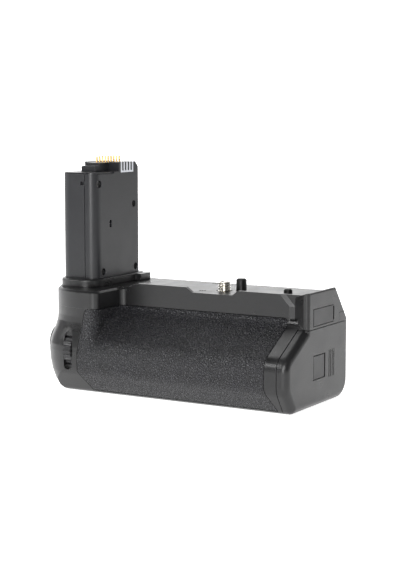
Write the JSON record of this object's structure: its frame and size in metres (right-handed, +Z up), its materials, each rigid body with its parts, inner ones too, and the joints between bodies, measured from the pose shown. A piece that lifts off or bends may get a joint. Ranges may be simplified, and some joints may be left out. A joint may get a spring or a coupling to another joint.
{
  "type": "camera battery grip",
  "caption": "Moulded grip that screws under a camera, with an upright battery tower, a slide-out battery tray, dials, buttons and a leather-grained front.",
  "frame": {"origin": "centre of the underside's bounding rectangle", "axes": "+X along the grip from the tower to the tray's cover, -Y out of the skinned front, +Z up along the camera screw"},
  "size_m": [0.139, 0.066, 0.1123],
  "materials": {
    "housing": "satin",
    "tower": "satin",
    "skin": "matte",
    "plate": "gloss",
    "tray": "satin",
    "control": "satin",
    "black_metal": "satin",
    "steel": "satin",
    "brass": "polished",
    "board": "satin"
  },
  "bodies": {
    "grip": {"lower_housing": "housing", "upper_housing": "housing", "camera_plate": "plate", "grip_skin": "skin", "thumb_skin": "skin", "tower_shell": "tower", "tower_cover": "tower", "tower_collar": "housing", "contact_plinth": "tower", "battery_contact_comb": "brass", "tower_screw_1": "black_metal", "tower_screw_2": "black_metal", "tower_screw_3": "black_metal", "tower_screw_4": "black_metal", "tower_circuit_board": "board", "screw_seat_ring": "control", "wheel_shaft": "steel", "locating_pin": "black_metal", "stub_pin": "black_metal", "tripod_bush": "steel", "base_screw_1": "black_metal", "base_screw_2": "black_metal", "base_screw_3": "black_metal", "base_screw_4": "black_metal", "usb_socket": "steel", "door_pin": "steel", "front_dial_shaft": "steel", "rear_dial_shaft": "steel", "main_circuit_board": "board"},
    "tray": {"battery_tray": "tray", "tray_cover": "housing", "latch_pin": "steel", "tray_contacts_1": "brass", "tray_contacts_2": "brass"},
    "latch": {"tray_latch": "control"},
    "door": {"usb_door": "control"},
    "wheel": {"attachment_wheel": "control"},
    "screw": {"tripod_screw": "steel"},
    "front_wheel": {"front_dial": "control"},
    "rear_wheel": {"rear_dial": "control"},
    "shutter": {"shutter_button": "control"},
    "lock_ring": {"shutter_lock_ring": "control"},
    "focus": {"focus_button": "control"},
    "function": {"function_button": "control"},
    "gimbal": {"selector_gimbal": "control"},
    "stick": {"selector_stick": "control"},
    "spring_pins": {"contact_pins": "brass"}
  },
  "joints": [
    {"name": "tray_slide", "type": "slide", "parent": "grip", "child": "tray", "axis": [1, 0, 0], "range_m": [0, 0.125]},
    {"name": "latch_press", "type": "hinge", "parent": "tray", "child": "latch", "pos_m": [0.068, 0.00515, 0.01865], "axis": [0, 0, -1], "range_deg": [0, 5], "stiffness_Nm_per_rad": 0.02, "springref_deg": -11.46},
    {"name": "door_swing", "type": "hinge", "parent": "grip", "child": "door", "pos_m": [0.0685, -0.0052, 0.0418], "axis": [0, 0, -1], "range_deg": [0, 90]},
    {"name": "wheel_turn", "type": "hinge", "parent": "grip", "child": "wheel", "pos_m": [0.0164, 0.02145, 0.0435], "axis": [0, 0, 1], "continuous": true},
    {"name": "screw_turn", "type": "hinge", "parent": "grip", "child": "screw", "pos_m": [0.0164, 0.0057, 0.0465], "axis": [0, 0, 1], "continuous": true},
    {"name": "front_dial_turn", "type": "hinge", "parent": "grip", "child": "front_wheel", "pos_m": [-0.0488, -0.0245, 0.0205], "axis": [1, 0, 0], "continuous": true},
    {"name": "rear_dial_turn", "type": "hinge", "parent": "grip", "child": "rear_wheel", "pos_m": [-0.0535, 0.0285, 0.0355], "axis": [1, 0, 0], "continuous": true},
    {"name": "shutter_press", "type": "slide", "parent": "grip", "child": "shutter", "axis": [1, 0, 0], "range_m": [0, 0.0008], "stiffness_N_per_m": 400, "springref_m": -0.001},
    {"name": "lock_ring_turn", "type": "hinge", "parent": "grip", "child": "lock_ring", "pos_m": [-0.069, -0.01, 0.021], "axis": [1, 0, 0], "range_deg": [0, 40]},
    {"name": "focus_press", "type": "slide", "parent": "grip", "child": "focus", "axis": [0, -1, 0], "range_m": [0, 0.0006], "stiffness_N_per_m": 300, "springref_m": -0.001},
    {"name": "function_press", "type": "slide", "parent": "grip", "child": "function", "axis": [0, -1, 0], "range_m": [0, 0.0006], "stiffness_N_per_m": 300, "springref_m": -0.001},
    {"name": "gimbal_tilt", "type": "hinge", "parent": "grip", "child": "gimbal", "pos_m": [-0.0165, 0.0284, 0.0355], "axis": [1, 0, 0], "range_deg": [-8, 8], "stiffness_Nm_per_rad": 0.005},
    {"name": "stick_tilt", "type": "hinge", "parent": "gimbal", "child": "stick", "pos_m": [-0.0165, 0.0284, 0.0355], "axis": [0, 0, 1], "range_deg": [-8, 8], "stiffness_Nm_per_rad": 0.005},
    {"name": "pins_press", "type": "slide", "parent": "grip", "child": "spring_pins", "axis": [0, 0, -1], "range_m": [0, 0.0008], "stiffness_N_per_m": 800, "springref_m": -0.0005}
  ],
  "couplings": [
    {"joint": "screw_turn", "follows": "wheel_turn", "ratio": -0.875}
  ]
}
